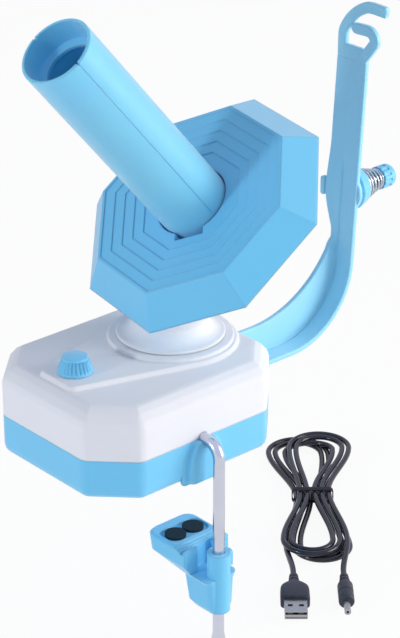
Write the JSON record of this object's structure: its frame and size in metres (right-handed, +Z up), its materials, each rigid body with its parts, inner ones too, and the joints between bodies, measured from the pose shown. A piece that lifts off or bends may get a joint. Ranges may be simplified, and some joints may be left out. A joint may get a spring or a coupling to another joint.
{
  "type": "electric yarn ball winder",
  "caption": "Electric yarn ball winder: tilted octagon winding disc with core tube on a turning head, guide arm with tensioner, speed knob, table clamp and a tied USB power cable.",
  "frame": {"origin": "centre of the base underside, the face that stands on the table", "axes": "+X from the speed knob towards the guide arm, +Y away from the table clamp, +Z up"},
  "size_m": [0.2475, 0.1657, 0.3231],
  "materials": {
    "blue_plastic": "satin moulded",
    "white_plastic": "satin moulded",
    "gear_nylon": "moulded",
    "rubber": "matte",
    "chrome": "polished",
    "steel": "bright",
    "brass": "machined",
    "board": "solder mask",
    "black_plastic": "moulded",
    "cable_rubber": "satin"
  },
  "bodies": {
    "base": {"bottom_shell": "blue_plastic", "top_cover": "white_plastic", "foot_pads": "rubber", "shell_screws": "steel", "drive_motor": "steel", "motor_bracket": "steel", "motor_screws": "steel", "reduction_axle": "steel", "center_post": "steel", "sun_gear": "brass", "control_board": "board", "speed_potentiometer": "steel", "dc_jack": "black_plastic", "guide_arm": "blue_plastic", "tension_stud": "steel", "tension_cap": "blue_plastic", "tension_spring": "steel", "usb_cable": "cable_rubber", "cable_tie": "cable_rubber", "usb_plug_body": "black_plastic", "usb_plug_shell": "steel", "dc_plug_body": "black_plastic", "dc_plug_barrel": "steel"},
    "motor_rotor": {"motor_shaft": "steel", "motor_pinion": "brass"},
    "reduction": {"reduction_gear": "gear_nylon"},
    "turret": {"turret_gear": "gear_nylon", "turret_sleeve": "steel", "lower_bush": "brass", "upper_bush": "brass", "turret_housing": "white_plastic", "housing_cap": "white_plastic", "housing_screws": "steel", "spindle_bush": "brass"},
    "spindle": {"spindle_shaft": "steel", "planet_gear": "gear_nylon", "spindle_clip": "steel", "winding_disc": "blue_plastic", "core_tube": "blue_plastic", "disc_screw": "steel"},
    "knob": {"potentiometer_shaft": "steel", "speed_knob": "blue_plastic"},
    "tensioner": {"tension_disc": "blue_plastic"},
    "rod": {"clamp_rod": "chrome", "rod_clip": "steel"},
    "jaw": {"clamp_slider": "blue_plastic", "clamp_pads": "rubber"}
  },
  "joints": [
    {"name": "turret_spin", "type": "hinge", "parent": "base", "child": "turret", "pos_m": [0.0228, 0, 0.0538], "axis": [0, 0, 1], "continuous": true},
    {"name": "spindle_spin", "type": "hinge", "parent": "turret", "child": "spindle", "pos_m": [0.04872, 0, 0.10844], "axis": [-0.6481, 0, 0.7615], "continuous": true},
    {"name": "reduction_spin", "type": "hinge", "parent": "base", "child": "reduction", "pos_m": [-0.0073, 0, 0.03], "axis": [0, 0, 1], "continuous": true},
    {"name": "motor_spin", "type": "hinge", "parent": "base", "child": "motor_rotor", "pos_m": [-0.0073, 0.0251, 0.03], "axis": [0, 0, 1], "continuous": true},
    {"name": "knob_turn", "type": "hinge", "parent": "base", "child": "knob", "pos_m": [-0.04, 0, 0.0514], "axis": [0, 0, -1], "range_deg": [0, 280]},
    {"name": "tension_slide", "type": "slide", "parent": "base", "child": "tensioner", "axis": [1, 0, 0], "range_m": [0, 0.004], "stiffness_N_per_m": 300, "springref_m": -0.002, "deforming": ["tension_spring"]},
    {"name": "rod_swing", "type": "hinge", "parent": "base", "child": "rod", "pos_m": [-0.002, -0.058, 0.022], "axis": [0, 1, 0], "range_deg": [-18, 18]},
    {"name": "jaw_slide", "type": "slide", "parent": "rod", "child": "jaw", "axis": [0, 0, 1], "range_m": [-0.0135, 0.029]}
  ],
  "couplings": [
    {"joint": "spindle_spin", "follows": "turret_spin", "ratio": 0.54167},
    {"joint": "reduction_spin", "follows": "turret_spin", "ratio": -4},
    {"joint": "motor_spin", "follows": "turret_spin", "ratio": 16}
  ]
}
